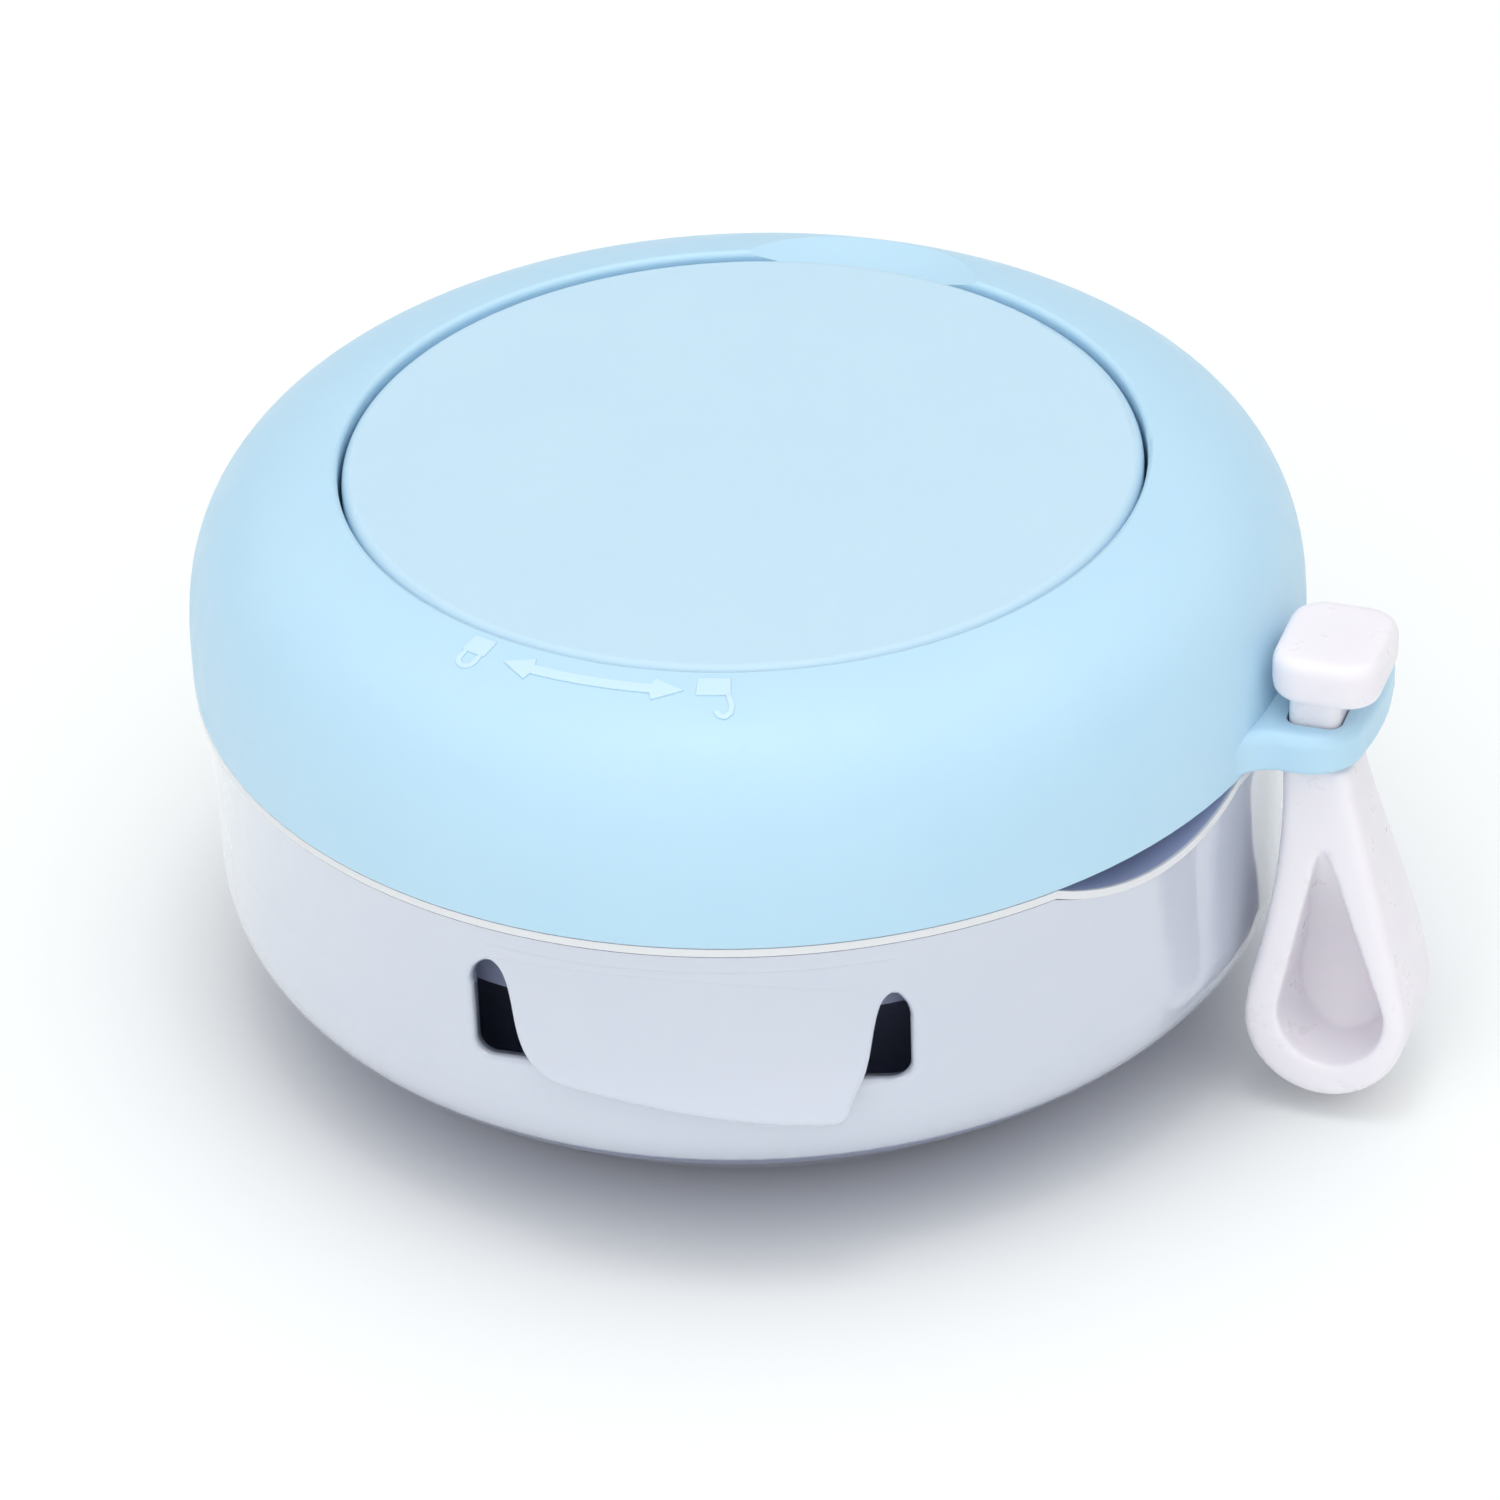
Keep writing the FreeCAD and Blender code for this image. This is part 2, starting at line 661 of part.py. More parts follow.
# ---------------------------------------------------------------- spoon
def teardrop(centre_x, centre_z, radius, neck_x, half_top, top_level):
    """Closed outline in the front view: a round end below two straight sides that meet the neck."""
    def tangent(sign):
        px, pz = neck_x + sign * half_top, top_level
        dx, dz = px - centre_x, pz - centre_z
        reach = math.hypot(dx, dz)
        angle = math.atan2(dz, dx) + sign * -1 * math.acos(radius / reach)
        return (px, pz), (centre_x + radius * math.cos(angle), centre_z + radius * math.sin(angle))
    (rx, rz), (rtx, rtz) = tangent(1)
    (lx, lz), (ltx, ltz) = tangent(-1)
    edges = chain([(lx, lz), (rx, rz), (rtx, rtz)])
    edges.append(arc((rtx, rtz), (centre_x, centre_z - radius), (ltx, ltz)))
    edges += chain([(ltx, ltz), (lx, lz)])
    return Part.Face(Part.Wire(edges))


def side_form(front, back):
    """Side view (y, z): straight through the front points, then smooth through the back points."""
    curve = Part.BSplineCurve()
    curve.interpolate([V(0, y, z) for y, z in back])
    straight = Part.makePolygon([V(0, y, z) for y, z in [back[-1]] + front + [back[0]]])
    face = Part.Face(Part.Wire(straight.Edges + [curve.toShape()]))
    start_x, width = 30, 40
    return face.extrude(V(width, 0, 0)).translated(V(start_x, 0, 0))


def scoop_outline():
    """Front view of the spoon below the hook: a round end whose sides draw in to the neck."""
    cx, cz, r = scoop_centre, spoon_bottom + scoop_radius, scoop_radius
    rise = math.radians(15)
    ends = {sign: V(cx + sign * r * math.cos(rise), 0, cz + r * math.sin(rise)) for sign in (-1, 1)}
    n = neck_centre
    left = [V(n - 2.3, 0, shoulder_z), V(n - 2.35, 0, 20.2), V(n - 2.95, 0, 15.7)]
    right = [V(n + 2.9, 0, shoulder_z), V(n + 5.25, 0, 20.7), V(n + 7.0, 0, 14.7)]
    sides = []
    for sign, points in ((-1, left), (1, right)):
        curve = Part.BSplineCurve()
        curve.interpolate(points + [ends[sign]])
        sides.append(curve.toShape())
    lower = Part.Arc(ends[-1], V(cx, 0, cz - r), ends[1]).toShape()
    return Part.Face(Part.Wire([Part.makeLine(right[0], left[0]), sides[0], lower, sides[1]]))


def make_spoon():
    """Head above the hook, flat neck through it, and a deep scoop that hangs below."""
    low = spoon_bottom - 0.1
    scoop_z = spoon_bottom + scoop_radius
    body = scoop_outline().extrude(V(0, 14, 0)).translated(V(0, scoop_front - 1, 0))
    high = shoulder_z + 0.1
    back = [(-0.6, high), (-0.3, 24.5), (0.5, 11.9), (-1.0, 5.7), (-6.9, low)]
    body = body.common(side_form([(scoop_front, low), (-6.9, high)], back))
    body = rounded(body, 0.9, edges_at(body, lambda p: p.y < -6.5 and p.z < shoulder_z - 0.01))
    body = rounded(body, 1.8, edges_at(body, lambda p: p.y > -5.5 and p.z < shoulder_z - 0.01))
    hollow = teardrop(scoop_centre + 0.5, scoop_z + 0.6, scoop_radius - 2.3, neck_centre + 1.28, 0.25, 22.9)
    hollow = hollow.extrude(V(0, 14, 0)).translated(V(0, scoop_front - 2, 0))
    hollow = hollow.common(side_form([(scoop_front - 2, 3.9), (scoop_front - 2, 24.5)],
                                     [(-7.7, 24.1), (-5.0, 17.2), (-2.5, 10.2), (-3.9, 6.1), (-9.3, 3.9)]))
    hollow = rounded(hollow, 1.0, edges_at(hollow, lambda p: p.y > -8.4))
    body = body.cut(hollow)
    body = body.cut(cylinder(spoon_keep_out, 0, hook_bottom))
    neck = Part.makeBox(2 * neck_half_width, neck_back - neck_front, 7.0,
                        V(neck_centre - neck_half_width, neck_front, 28.9))
    neck = neck.makeFillet(0.9, edges_at(neck, lambda p: min(abs(p.y - neck_front), abs(p.y - neck_back)) < 0.01
                                         and abs(abs(p.x - neck_centre) - neck_half_width) < 0.01))
    low_x, high_x, low_y, high_y = head_plan
    head = Part.makeBox(high_x - low_x, high_y - low_y, head_top - head_bottom, V(low_x, low_y, head_bottom))
    upright = edges_at(head, lambda p: min(abs(p.x - low_x), abs(p.x - high_x)) < 0.01 and
                       min(abs(p.y - low_y), abs(p.y - high_y)) < 0.01)
    head = head.makeFillet(2.6, upright)
    head = rounded(head, 0.9, edges_at(head, lambda p: p.z > head_top - 0.01 or p.z < head_bottom + 0.01))
    spoon = body.fuse(neck).fuse(head)
    return turned(spoon, lid_heading)


# ---------------------------------------------------------------- write every node
nodes = {
    "base_shell": make_base_shell,
    "foot_pad": make_foot_pad,
    "bowl_screws": make_bowl_screws,
    "grinding_bowl": make_grinding_bowl,
    "lower_grinding_plate": make_lower_grinding_plate,
    "inner_cover": make_inner_cover,
    "cover_seal": make_cover_seal,
    "guide_bush": make_guide_bush,
    "spring_sleeve": make_spring_sleeve,
    "thrust_washer": make_thrust_washer,
    "return_spring": make_return_spring,
    "lid_shell": make_lid_shell,
    "lock_ring": make_lock_ring,
    "lock_ring_screws": make_lock_ring_screws,
    "storage_cup": make_storage_cup,
    "drive_shaft": make_drive_shaft,
    "shaft_screw": make_shaft_screw,
    "upper_grinding_plate": make_upper_grinding_plate,
    "plate_screw": make_plate_screw,
    "lid_disc": make_lid_disc,
    "disc_gasket": make_disc_gasket,
    "spoon": make_spoon,
}

os.makedirs("parts", exist_ok=True)
for name, make in nodes.items():
    shape = make()
    save(name, shape)
    box = shape.BoundBox
    print(name, "valid", shape.isValid(), "solids", len(shape.Solids), "volume", round(shape.Volume, 1),
          "z", round(box.ZMin, 2), round(box.ZMax, 2))
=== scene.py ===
import json
import math

import bmesh
import bpy
from mathutils import Matrix, Vector
from mathutils.bvhtree import BVHTree


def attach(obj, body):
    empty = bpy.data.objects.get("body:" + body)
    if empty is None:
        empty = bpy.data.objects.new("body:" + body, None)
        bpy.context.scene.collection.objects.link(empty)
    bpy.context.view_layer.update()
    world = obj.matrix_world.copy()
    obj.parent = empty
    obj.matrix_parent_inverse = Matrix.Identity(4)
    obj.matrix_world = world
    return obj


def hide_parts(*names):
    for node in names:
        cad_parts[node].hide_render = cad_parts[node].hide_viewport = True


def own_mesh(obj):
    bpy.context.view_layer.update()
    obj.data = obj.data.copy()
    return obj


# Looks of a hand-held pill crusher: glossy white base with a grip visor, clear bowl rim, pale blue
# twist-lock lid with raised marks, flat disc and a milky spoon in its hook. Metres, row frame.
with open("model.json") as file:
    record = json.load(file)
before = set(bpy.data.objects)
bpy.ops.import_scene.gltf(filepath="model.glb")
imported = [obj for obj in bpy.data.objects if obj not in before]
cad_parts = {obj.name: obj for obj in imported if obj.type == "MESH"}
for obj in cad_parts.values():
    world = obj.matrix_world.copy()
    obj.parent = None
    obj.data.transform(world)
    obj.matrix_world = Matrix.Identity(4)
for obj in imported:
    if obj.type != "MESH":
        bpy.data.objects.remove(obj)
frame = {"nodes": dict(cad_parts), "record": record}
bpy.context.view_layer.update()

MM = 0.001


# ---------------------------------------------------------------- camera, floor and light
CAMERA_AZIMUTH = 7.6            # degrees round from straight in front of the visor
CAMERA_ELEVATION = 33.43
CAMERA_ROLL = 2.217
CAMERA_DISTANCE = 500.18 * MM
CAMERA_TARGET = Vector((-0.27, -0.04, 18.32)) * MM
CAMERA_LENS = 153.1


def add_camera():
    azimuth, elevation, roll = (math.radians(a) for a in (CAMERA_AZIMUTH, CAMERA_ELEVATION, CAMERA_ROLL))
    back = Vector((math.sin(azimuth) * math.cos(elevation), -math.cos(azimuth) * math.cos(elevation),
                   math.sin(elevation)))
    level = Vector((math.cos(azimuth), math.sin(azimuth), 0))
    upward = back.cross(level)
    right = math.cos(roll) * level - math.sin(roll) * upward
    up = back.cross(right)
    data = bpy.data.cameras.new("camera")
    data.lens = CAMERA_LENS
    data.clip_start, data.clip_end = 0.05, 20
    camera = bpy.data.objects.new("camera", data)
    turn = Matrix((right, up, back)).transposed().to_4x4()
    camera.matrix_world = Matrix.Translation(CAMERA_TARGET + CAMERA_DISTANCE * back) @ turn
    bpy.context.scene.collection.objects.link(camera)
    bpy.context.scene.camera = camera


def add_softbox(name, position, size, watts):
    """Rectangular softbox that faces the object."""
    data = bpy.data.lights.new(name, "AREA")
    data.shape = "RECTANGLE"
    data.size, data.size_y = size
    data.energy = watts
    light = bpy.data.objects.new(name, data)
    place = Vector(position)
    aim = (Vector((0, 0, 0.02)) - place).to_track_quat("-Z", "Y").to_matrix().to_4x4()
    light.matrix_world = Matrix.Translation(place) @ aim
    bpy.context.scene.collection.objects.link(light)


def add_world(overhead, front, others):
    """White studio tent: bright overhead and behind the camera, dim walls at the sides and the back."""
    world = bpy.data.worlds.new("studio")
    world.use_nodes = True
    tree = world.node_tree

    def node(kind, operation, *inputs):
        made = tree.nodes.new(kind)
        if operation:
            made.operation = operation
        for socket, value in zip(made.inputs, inputs):
            if isinstance(value, bpy.types.NodeSocket):
                tree.links.new(value, socket)
            else:
                socket.default_value = value
        return made.outputs[0]

    overhead_low, overhead_full = 0.45, 1.0     # a direction's height: 0 is level, 1 is straight up
    front_full, front_end = -0.9, -0.1          # its part along Y: -1 is straight out from the visor
    direction = tree.nodes.new("ShaderNodeTexCoord").outputs["Generated"]
    split = tree.nodes.new("ShaderNodeSeparateXYZ")
    tree.links.new(direction, split.inputs[0])
    height = node("ShaderNodeMapRange", None, split.outputs["Z"], overhead_low, overhead_full)
    wall = node("ShaderNodeMapRange", None, split.outputs["Y"], front_full, front_end, front, others)
    rise = node("ShaderNodeMath", "MULTIPLY", height, node("ShaderNodeMath", "SUBTRACT", overhead, wall))
    strength = node("ShaderNodeMath", "ADD", wall, rise)
    tree.links.new(strength, tree.nodes["Background"].inputs["Strength"])
    tree.nodes["Background"].inputs["Color"].default_value = (1, 1, 1, 1)
    bpy.context.scene.world = world


# ---------------------------------------------------------------- material helpers
class Look:
    """A material with one Principled shader, and short ways to add and join its nodes."""

    def __init__(self, name, color, roughness):
        self.material = bpy.data.materials.new(name)
        self.material.use_nodes = True
        self.tree = self.material.node_tree
        self.shader = self.tree.nodes["Principled BSDF"]
        self.set("Base Color", (*color, 1))
        self.set("Roughness", roughness)
        self.coordinates = self.add("ShaderNodeTexCoord").outputs["Object"]

    def set(self, socket, value):
        self.shader.inputs[socket].default_value = value

    def link(self, output, socket):
        self.tree.links.new(output, socket)

    def add(self, kind, settings=None, **inputs):
        node = self.tree.nodes.new(kind)
        for key, value in (settings or {}).items():
            setattr(node, key, value)
        for key, value in inputs.items():
            socket = node.inputs[key.replace("_", " ")]
            if isinstance(value, bpy.types.NodeSocket):
                self.link(value, socket)
            else:
                socket.default_value = value
        return node

    def noise(self, size, detail=2.0, stretch=(1, 1, 1)):
        """Noise whose features are about size metres wide."""
        mapping = self.add("ShaderNodeMapping", Vector=self.coordinates, Scale=stretch)
        return self.add("ShaderNodeTexNoise", Vector=mapping.outputs["Vector"],
                        Scale=1 / size, Detail=detail).outputs["Fac"]

    def span(self, value, low, high, to_low=0.0, to_high=1.0):
        """Value mapped from one span to another, kept within it."""
        node = self.add("ShaderNodeMapRange", {"interpolation_type": "SMOOTHSTEP"}, Value=value)
        for socket, number in zip(("From Min", "From Max", "To Min", "To Max"), (low, high, to_low, to_high)):
            node.inputs[socket].default_value = number
        return node.outputs["Result"]

    def mix(self, share, first, second):
        node = self.add("ShaderNodeMix", {"data_type": "RGBA"})
        factor, a, b = node.inputs[0], node.inputs[6], node.inputs[7]
        for socket, value in ((factor, share), (a, first), (b, second)):
            if isinstance(value, bpy.types.NodeSocket):
                self.link(value, socket)
            else:
                socket.default_value = value if isinstance(value, float) else (*value, 1)
        return node.outputs[2]

    def color(self, output):
        self.link(output, self.shader.inputs["Base Color"])

    def vary_roughness(self, size, low, high):
        self.link(self.span(self.noise(size, 3.0), 0.3, 0.7, low, high), self.shader.inputs["Roughness"])

    def bump(self, height, depth):
        """Bump from a height output, depth in metres."""
        node = self.add("ShaderNodeBump", Height=height, Distance=depth, Strength=1.0)
        self.link(node.outputs["Normal"], self.shader.inputs["Normal"])

    def subsurface(self, weight, reach):
        """Light that spreads under the surface, reach in millimetres for red, green and blue."""
        self.set("Subsurface Weight", weight)
        self.set("Subsurface Radius", tuple(color * MM for color in reach))
        self.set("Subsurface Scale", 1.0)

    def radius(self):
        """Distance from the body's axis, metres."""
        flat = self.add("ShaderNodeVectorMath", {"operation": "MULTIPLY"})
        self.link(self.coordinates, flat.inputs[0])
        flat.inputs[1].default_value = (1, 1, 0)
        length = self.add("ShaderNodeVectorMath", {"operation": "LENGTH"})
        self.link(flat.outputs[0], length.inputs[0])
        return length.outputs["Value"]


def moulded(name, low, high, roughness, grain=0.12 * MM, grain_depth=0.004 * MM):
    """Injection-moulded plastic: cloudy tone, uneven sheen and a fine eroded grain."""
    look = Look(name, low, roughness)
    look.color(look.mix(look.noise(11 * MM, 3.0), low, high))
    look.vary_roughness(2.5 * MM, roughness - 0.05, roughness + 0.05)
    look.bump(look.noise(grain, 2.0), grain_depth)
    return look


# ---------------------------------------------------------------- materials
NAVY_LINING_AND_SHADE_START, NAVY_LINING_AND_SHADE_FULL = 40.6 * MM, 40.3 * MM        # the base is navy inside these radii: a guessed lining colour that is also painted shade for the dark seen through the slots
BOWL_EDGE_START, BOWL_EDGE_FULL = 42.6 * MM, 42.85 * MM  # the bowl is palest at its thin outer edge


def white_gloss():
    """Glossy white base with a cool cast. Its inner wall is navy: a guessed lining colour and painted shade
    for the dark seen through the slots.
    """
    look = Look("white_gloss_plastic", (0.6, 0.65, 0.75), 0.16)
    outside = look.mix(look.noise(16 * MM, 3.0), (0.58, 0.63, 0.74), (0.62, 0.665, 0.76))
    # painted shade: the wall inside these radii is coloured navy, partly a guessed lining colour, partly the
    # shade seen through the slots
    inside = look.span(look.radius(), NAVY_LINING_AND_SHADE_START, NAVY_LINING_AND_SHADE_FULL)
    look.color(look.mix(inside, outside, (0.06, 0.09, 0.24)))
    look.vary_roughness(5 * MM, 0.1, 0.2)
    look.set("Coat Weight", 1.0)
    look.set("Coat IOR", 1.8)
    look.set("Coat Roughness", 0.04)
    look.subsurface(0.15, (0.9, 1.0, 1.3))
    look.bump(look.noise(0.5 * MM, 2.0), 0.0006 * MM)
    return look


def blue_satin(name, low, high, roughness):
    look = moulded(name, low, high, roughness)
    look.subsurface(0.12, (0.5, 0.8, 1.2))
    return look


def clear_plastic():
    """Clear bowl shown milky: periwinkle inside, pale at the thin outer edge that shows at the seam."""
    look = Look("clear_plastic", (0.86, 0.9, 0.97), 0.06)
    thin_edge = look.span(look.radius(), BOWL_EDGE_START, BOWL_EDGE_FULL)
    look.color(look.mix(thin_edge, (0.48, 0.54, 0.8), (0.95, 0.97, 1.0)))
    look.set("Transmission Weight", 0.2)
    look.set("IOR", 1.57)
    look.vary_roughness(3 * MM, 0.03, 0.1)
    look.bump(look.noise(0.6 * MM, 1.0), 0.001 * MM)
    return look


def spoon_plastic():
    look = moulded("spoon_plastic", (0.84, 0.81, 0.86), (0.87, 0.85, 0.9), 0.32, grain_depth=0.0008 * MM)
    look.subsurface(0.5, (1.6, 1.3, 1.4))
    return look


def steel(name, tone, roughness, turned_size):
    look = Look(name, tone, roughness)
    look.set("Metallic", 1.0)
    look.vary_roughness(0.8 * MM, roughness - 0.08, roughness + 0.08)
    look.bump(look.noise(turned_size, 2.0, (1, 1, 12)), 0.003 * MM)
    return look


def soft(name, low, high):
    look = moulded(name, low, high, 0.6, grain=0.25 * MM, grain_depth=0.01 * MM)
    look.subsurface(0.2, (0.8, 0.8, 0.8))
    return look


looks = {
    "white_gloss_plastic": white_gloss(),
    "grey_silicone": soft("grey_silicone", (0.5, 0.52, 0.56), (0.56, 0.58, 0.62)),
    "screw_steel": steel("screw_steel", (0.6, 0.61, 0.64), 0.32, 0.2 * MM),
    "clear_plastic": clear_plastic(),
    "plate_plastic": moulded("plate_plastic", (0.78, 0.8, 0.84), (0.82, 0.84, 0.88), 0.45),
    "inner_white_plastic": moulded("inner_white_plastic", (0.75, 0.79, 0.87), (0.8, 0.83, 0.9), 0.4),
    "clear_silicone": soft("clear_silicone", (0.74, 0.79, 0.86), (0.8, 0.84, 0.9)),
    "bush_plastic": moulded("bush_plastic", (0.8, 0.78, 0.7), (0.84, 0.82, 0.75), 0.5),
    "washer_plastic": moulded("washer_plastic", (0.05, 0.053, 0.06), (0.07, 0.073, 0.08), 0.4),
    "spring_steel": steel("spring_steel", (0.62, 0.63, 0.66), 0.25, 0.1 * MM),
    "shaft_steel": steel("shaft_steel", (0.68, 0.69, 0.72), 0.2, 0.15 * MM),
    "blue_satin_plastic": blue_satin("blue_satin_plastic", (0.475, 0.715, 0.885), (0.505, 0.74, 0.9),
                                     roughness=0.42),
    "inner_blue_plastic": blue_satin("inner_blue_plastic", (0.36, 0.55, 0.85), (0.4, 0.58, 0.87), 0.45),
    "ring_periwinkle_plastic": blue_satin("ring_periwinkle_plastic", (0.42, 0.5, 0.85), (0.46, 0.53, 0.88),
                                          roughness=0.4),
    "disc_blue_plastic": blue_satin("disc_blue_plastic", (0.52, 0.73, 0.87), (0.55, 0.75, 0.89), 0.38),
    "spoon_plastic": spoon_plastic(),
}
mark_look = blue_satin("raised_mark_plastic", (0.56, 0.79, 0.92), (0.59, 0.81, 0.94), 0.35)


def dress_nodes():
    """Gives every CAD node the finish of its material slot."""
    slots = {part["node"]: part["material_slot"] for part in frame["record"]["subparts"]}
    for name, node in frame["nodes"].items():
        for place in node.material_slots:
            place.material = looks[slots[name]].material


def soften(node, voxel, rounds):
    """Rounds a moulded piece's edges all over."""
    remesh = node.modifiers.new("even skin", "REMESH")
    remesh.mode, remesh.voxel_size, remesh.use_smooth_shade = "VOXEL", voxel, True
    smooth = node.modifiers.new("soft edges", "SMOOTH")
    smooth.factor, smooth.iterations = 0.5, rounds


# ---------------------------------------------------------------- raised marks on the lid
MARK_HEIGHT = 0.12 * MM
MARK_ROOT = 0.12 * MM


def surface_finder(node):
    mesh = frame["nodes"][node].data
    tree = BVHTree.FromPolygons([v.co for v in mesh.vertices], [p.vertices for p in mesh.polygons])

    def find(radius, heading):
        """Point and normal of the surface seen from above at a radius (metres) and a heading (degrees)."""
        angle = math.radians(heading)
        above = Vector((radius * math.cos(angle), radius * math.sin(angle), 0.1))
        point, normal, _, _ = tree.ray_cast(above, Vector((0, 0, -1)))
        return point, normal if normal.z > 0 else -normal
    return find


def add_patch(bm, find, across, along, place):
    """Closed raised patch. place(u, v) gives (radius, heading) for u along and v across it, both 0 to 1."""
    top, root = [], []
    for i in range(along + 1):
        for j in range(across + 1):
            point, normal = find(*place(i / along, j / across))
            top.append(bm.verts.new(point + normal * MARK_HEIGHT))
            root.append(bm.verts.new(point - normal * MARK_ROOT))

    def at(layer, i, j):
        return layer[i * (across + 1) + j]

    for i in range(along):
        for j in range(across):
            bm.faces.new((at(top, i, j), at(top, i + 1, j), at(top, i + 1, j + 1), at(top, i, j + 1)))
            bm.faces.new((at(root, i, j), at(root, i, j + 1), at(root, i + 1, j + 1), at(root, i + 1, j)))
    rim = [(i, 0) for i in range(along)] + [(along, j) for j in range(across)]
    rim += [(i, across) for i in range(along, 0, -1)] + [(0, j) for j in range(across, 0, -1)]
    for (i, j), (k, m) in zip(rim, rim[1:] + rim[:1]):
        bm.faces.new((at(top, i, j), at(root, i, j), at(root, k, m), at(top, k, m)))


def add_mark(name, bm):
    """Turns finished patches into a piece that rides on the lid."""
    bmesh.ops.recalc_face_normals(bm, faces=bm.faces)
    mesh = bpy.data.meshes.new(name)
    bm.to_mesh(mesh)
    bm.free()
    piece = bpy.data.objects.new(name, mesh)
    bpy.context.scene.collection.objects.link(piece)
    bevel = piece.modifiers.new("soft edge", "BEVEL")
    bevel.width, bevel.segments, bevel.limit_method = 0.06 * MM, 2, "ANGLE"
    bevel.angle_limit = math.radians(50)
    mesh.materials.append(mark_look.material)
    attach(piece, "lid")


def add_lock_arrow(find):
    """Curved arrow with a head at each end."""
    start, end, radius = -114.8, -90.8, 33.3 * MM       # headings in degrees
    head, barb = 0.16, 0.012                            # shares of the whole length
    half_head, half_shaft = 1.05 * MM, 0.42 * MM

    def place(u, v):
        tip = min(u, 1 - u)
        if tip < head:
            half = half_head * tip / head
        elif tip < head + barb:
            half = half_head + (half_shaft - half_head) * (tip - head) / barb
        else:
            half = half_shaft
        return radius + (2 * v - 1) * half, start + (end - start) * u

    bm = bmesh.new()
    add_patch(bm, find, across=4, along=120, place=place)
    add_mark("lock_arrow", bm)


def add_padlock(name, find, radius, heading, half_width, shackle_points):
    """Small padlock: a block towards the disc and a bent shackle of even width beyond it."""
    block_height, half_wire = 1.7 * MM, 0.2 * MM

    def spot(x, y):
        return radius + y, heading + math.degrees(x / radius)

    def block(u, v):
        return spot((2 * u - 1) * half_width, v * block_height)

    def shackle(u, v):
        place = u * (len(shackle_points) - 1)
        k = min(int(place), len(shackle_points) - 2)
        first, second = (Vector(shackle_points[i]) * MM for i in (k, k + 1))
        before = Vector(shackle_points[max(k - 1, 0)]) * MM
        after = Vector(shackle_points[min(k + 2, len(shackle_points) - 1)]) * MM
        way = (second - before).lerp(after - first, place - k).normalized()
        middle = first.lerp(second, place - k)
        return spot(*(middle + Vector((-way.y, way.x)) * (2 * v - 1) * half_wire))

    bm = bmesh.new()
    add_patch(bm, find, across=6, along=6, place=block)
    add_patch(bm, find, across=2, along=4 * len(shackle_points), place=shackle)
    add_mark(name, bm)


def bow(left, right, foot, knee, crown):
    """Shackle path: up one side, round over the top and down the other, (x, y) in millimetres."""
    middle, half = (left + right) / 2, (right - left) / 2
    turn = [(middle - half * math.cos(math.radians(a)), knee + (crown - knee) * math.sin(math.radians(a)))
            for a in range(0, 181, 20)]
    return [(left, foot)] + turn


def add_lock_marks(find):
    """Arrow between a closed padlock, where the lid locks, and an open one, where it lifts off."""
    add_lock_arrow(find)
    closed = bow(-0.62, 0.62, 1.6, 2.3, 3.0) + [(0.62, 1.6)]
    add_padlock("lock_closed_mark", find, radius=31.8 * MM, heading=-119.3, half_width=0.95 * MM,
                shackle_points=closed)
    swung = [(1.0, 1.5), (1.15, 2.1), (1.3, 2.7), (1.2, 3.3), (0.85, 3.65), (0.45, 3.5), (0.25, 3.1)]
    add_padlock("lock_open_mark", find, radius=32.0 * MM, heading=-87.1, half_width=1.2 * MM,
                shackle_points=swung)


# ---------------------------------------------------------------- return spring
SPRING_LOW = 22.0 * MM          # floor of the cover's well
SPRING_HIGH = 32.4 * MM         # flange of the sleeve at rest
SPRING_RADIUS = 10.2 * MM
WIRE_RADIUS = 0.45 * MM
SPRING_TURNS = 4


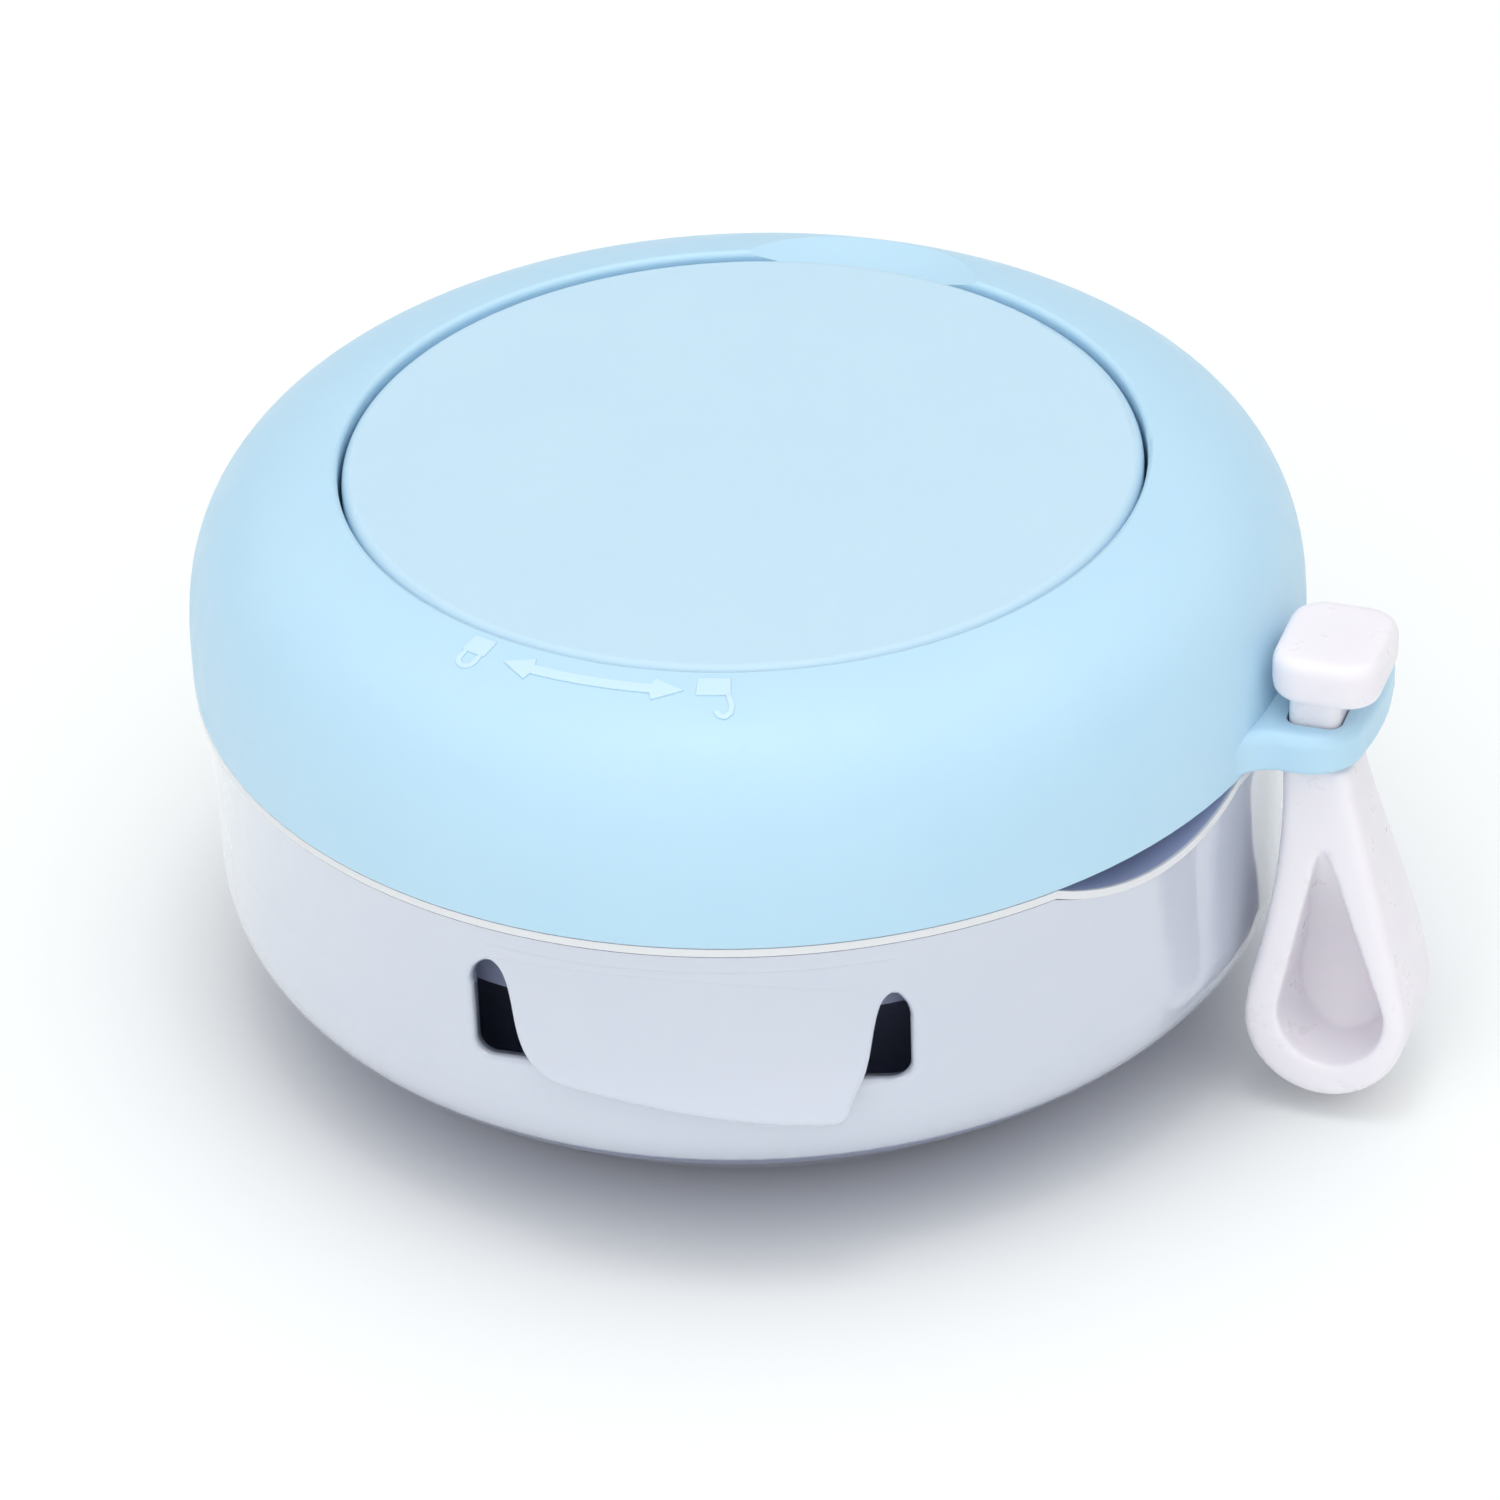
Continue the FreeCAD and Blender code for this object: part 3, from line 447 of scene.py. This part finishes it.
def add_spring():
    """Wire coil in place of the CAD spring, riding on the cover."""
    steps_per_turn, sides = 48, 12
    steps = steps_per_turn * SPRING_TURNS
    low, high = SPRING_LOW + WIRE_RADIUS, SPRING_HIGH - WIRE_RADIUS
    slope = (high - low) / (SPRING_TURNS * math.tau)
    bm = bmesh.new()
    rings = []
    for i in range(steps + 1):
        angle = math.tau * SPRING_TURNS * i / steps
        outward = Vector((math.cos(angle), math.sin(angle), 0))
        along = Vector((-SPRING_RADIUS * math.sin(angle), SPRING_RADIUS * math.cos(angle), slope))
        along.normalize()
        across = along.cross(outward)
        centre = outward * SPRING_RADIUS + Vector((0, 0, low + (high - low) * i / steps))
        ring = []
        for j in range(sides):
            turn = math.tau * j / sides
            side = math.cos(turn) * outward + math.sin(turn) * across
            ring.append(bm.verts.new(centre + WIRE_RADIUS * side))
        rings.append(ring)
    for first, second in zip(rings, rings[1:]):
        for j in range(sides):
            k = (j + 1) % sides
            bm.faces.new((first[j], first[k], second[k], second[j]))
    bm.faces.new(rings[0])
    bm.faces.new(rings[-1])
    bmesh.ops.recalc_face_normals(bm, faces=bm.faces)
    for face in bm.faces:
        face.smooth = len(face.verts) == 4
    mesh = bpy.data.meshes.new("spring_coil")
    bm.to_mesh(mesh)
    bm.free()
    mesh.materials.append(looks["spring_steel"].material)
    coil = bpy.data.objects.new("spring_coil", mesh)
    bpy.context.scene.collection.objects.link(coil)
    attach(coil, "cover")
    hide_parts("return_spring")
    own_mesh(coil)


FLOOR_HALF = 3.0


def add_floor():
    mesh = bpy.data.meshes.new("floor")
    corners = [(x * FLOOR_HALF, y * FLOOR_HALF, 0) for x, y in ((-1, -1), (1, -1), (1, 1), (-1, 1))]
    mesh.from_pydata(corners, [], [(0, 1, 2, 3)])
    floor = bpy.data.objects.new("floor", mesh)
    bpy.context.scene.collection.objects.link(floor)
    look = Look("floor_paint", (0.93, 0.95, 0.95), 0.8)
    look.color(look.mix(look.noise(60 * MM, 2.0), (0.93, 0.955, 0.95), (0.95, 0.97, 0.965)))
    look.bump(look.noise(2 * MM), 0.01 * MM)
    mesh.materials.append(look.material)


# ---------------------------------------------------------------- the scene
add_world(overhead=1.62, front=1.08, others=0.35)
add_softbox("overhead_softbox", position=(0.0, -0.08, 0.6), size=(0.16, 0.16), watts=0.3)
add_camera()
dress_nodes()
soften(frame["nodes"]["spoon"], voxel=0.2 * MM, rounds=20)
add_lock_marks(surface_finder("lid_shell"))
add_spring()
add_floor()
bpy.context.scene.view_settings.view_transform = "Standard"
